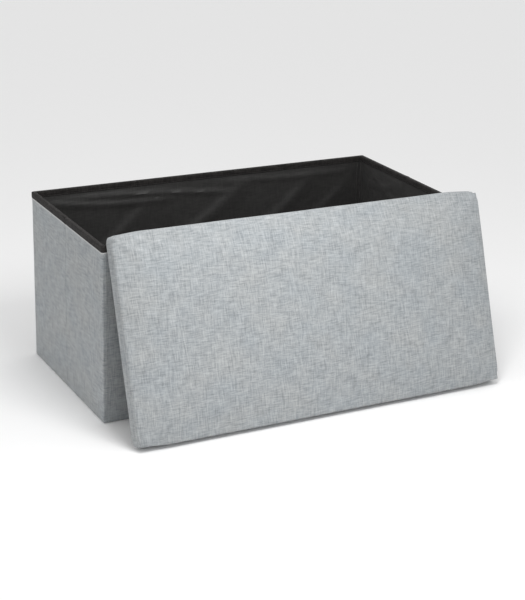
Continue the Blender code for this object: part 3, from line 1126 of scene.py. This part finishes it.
def add_dust_cover():
    """Black cloth stapled under the lid, its edges turned in."""
    width = LID_WIDTH - 2 * DUST_INSET
    depth = LID_DEPTH - 2 * DUST_INSET
    bpy.ops.mesh.primitive_grid_add(x_subdivisions=90, y_subdivisions=46, size=1)
    cover = bpy.context.object
    call(cover, "lid_dust_cloth")
    for vertex in cover.data.vertices:
        x = vertex.co.x * width
        y = (vertex.co.y + 0.5) * depth + DUST_INSET
        from_edge = min(width / 2 - abs(x), y - DUST_INSET, LID_DEPTH - DUST_INSET - y)
        hem = 0.0005 * hump(from_edge - 0.008, 0.006)
        slack = 0.0004 * unevenness(x * 12, y * 12, 3.0)
        vertex.co = (x, y, 0.0003 - hem + slack * ease(from_edge / 0.03))
    set_uv(cover, lambda co: (co.x, co.y))
    wall = cover.modifiers.new("cloth", "SOLIDIFY")
    wall.thickness = 0.0006
    wall.offset = 1.0
    apply_modifiers(cover)
    smooth_by_angle(cover)
    cover.data.materials.append(FELT)
    cover.data.transform(LID_FRAME)
    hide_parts("lid_dust_cover")
    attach(cover, "lid")


def add_staples():
    """Wire staples round the edge of the dust cover."""
    bpy.ops.mesh.primitive_cube_add(size=1, scale=(0.010, 0.0011, 0.0006))
    staple = bpy.context.object
    bpy.ops.object.transform_apply(scale=True)
    select_parts(staple, "EDGE", lambda edge: True)
    bpy.ops.mesh.bevel(offset=0.00022, segments=2, affect="EDGES")
    close_edit()
    staple.data.materials.append(STAPLE)
    pattern = staple.data.copy()
    bpy.data.objects.remove(staple)
    draw = random.Random(12)
    half_width = LID_WIDTH / 2 - DUST_INSET - 0.007
    low_y = DUST_INSET + 0.007
    high_y = LID_DEPTH - low_y
    places = []
    for index in range(15):
        x = -half_width + 0.02 + (2 * half_width - 0.04) * index / 14
        places += [(x, low_y, 0.0), (x, high_y, 0.0)]
    for index in range(7):
        y = low_y + 0.03 + (high_y - low_y - 0.06) * index / 6
        places += [(-half_width, y, 90.0), (half_width, y, 90.0)]
    copies = []
    for x, y, turn in places:
        angle = math.radians(turn + draw.uniform(-14, 14))
        copy = bpy.data.objects.new("staple", pattern.copy())
        bpy.context.scene.collection.objects.link(copy)
        spot = (x + draw.uniform(-0.003, 0.003), y + draw.uniform(-0.0015, 0.0015), -0.0006)
        copy.data.transform(Matrix.Translation(spot) @ Matrix.Rotation(angle, 4, "Z"))
        copies.append(copy)
    staples = copies[0]
    join_into(staples, copies[1:])
    call(staples, "lid_staples")
    staples.data.transform(LID_FRAME)
    smooth_by_angle(staples)
    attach(staples, "lid")


# ---------------- boards, floor, light, camera

def finish_boards():
    """Fibreboard on every CAD board that stays."""
    for name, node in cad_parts.items():
        if name.endswith("_board"):
            node.data.materials.clear()
            node.data.materials.append(BOARD)


def add_floor():
    """A wide pale floor."""
    bpy.ops.mesh.primitive_plane_add(size=60, location=(0, 0, -0.0006))
    floor = bpy.context.object
    floor.name = "floor"
    floor.data.materials.append(floor_material())


def add_area_light(name, place, target, size, power):
    """A soft square light that looks at a point."""
    data = bpy.data.lights.new(name, "AREA")
    data.energy = power
    data.size = size
    light = bpy.data.objects.new(name, data)
    light.location = place
    light.rotation_mode = "QUATERNION"
    light.rotation_quaternion = (Vector(target) - Vector(place)).to_track_quat("-Z", "Y")
    bpy.context.scene.collection.objects.link(light)


def light_studio():
    """White surroundings and one soft light above and in front of the lid."""
    world = bpy.data.worlds.new("studio")
    world.use_nodes = True
    world.node_tree.nodes["Background"].inputs["Color"].default_value = (1.0, 1.0, 1.0, 1)
    world.node_tree.nodes["Background"].inputs["Strength"].default_value = 0.83
    bpy.context.scene.world = world
    bpy.context.scene.view_settings.view_transform = "Standard"
    add_area_light("key", (-0.16, -0.62, 1.05), (0.0, -0.12, 0.25), 0.45, 7.1)


def add_camera():
    """A long lens, above and to the left of the front, rolled slightly."""
    back = Vector((
        math.sin(CAMERA_AZIMUTH) * math.cos(CAMERA_ELEVATION),
        -math.cos(CAMERA_AZIMUTH) * math.cos(CAMERA_ELEVATION),
        math.sin(CAMERA_ELEVATION),
    ))
    data = bpy.data.cameras.new("camera")
    data.lens = CAMERA_LENS
    data.sensor_width = 36.0
    camera = bpy.data.objects.new("camera", data)
    camera.location = CAMERA_TARGET + back * CAMERA_DISTANCE
    camera.rotation_mode = "QUATERNION"
    camera.rotation_quaternion = (-back).to_track_quat("-Z", "Y") @ Quaternion((0, 0, 1), CAMERA_ROLL)
    bpy.context.scene.collection.objects.link(camera)
    bpy.context.scene.camera = camera


add_camera()
light_studio()
add_floor()
finish_boards()
add_covers()
add_bindings()
add_linings()
add_base()
add_lid_cushion()
add_dust_cover()
add_staples()
deselect_all()
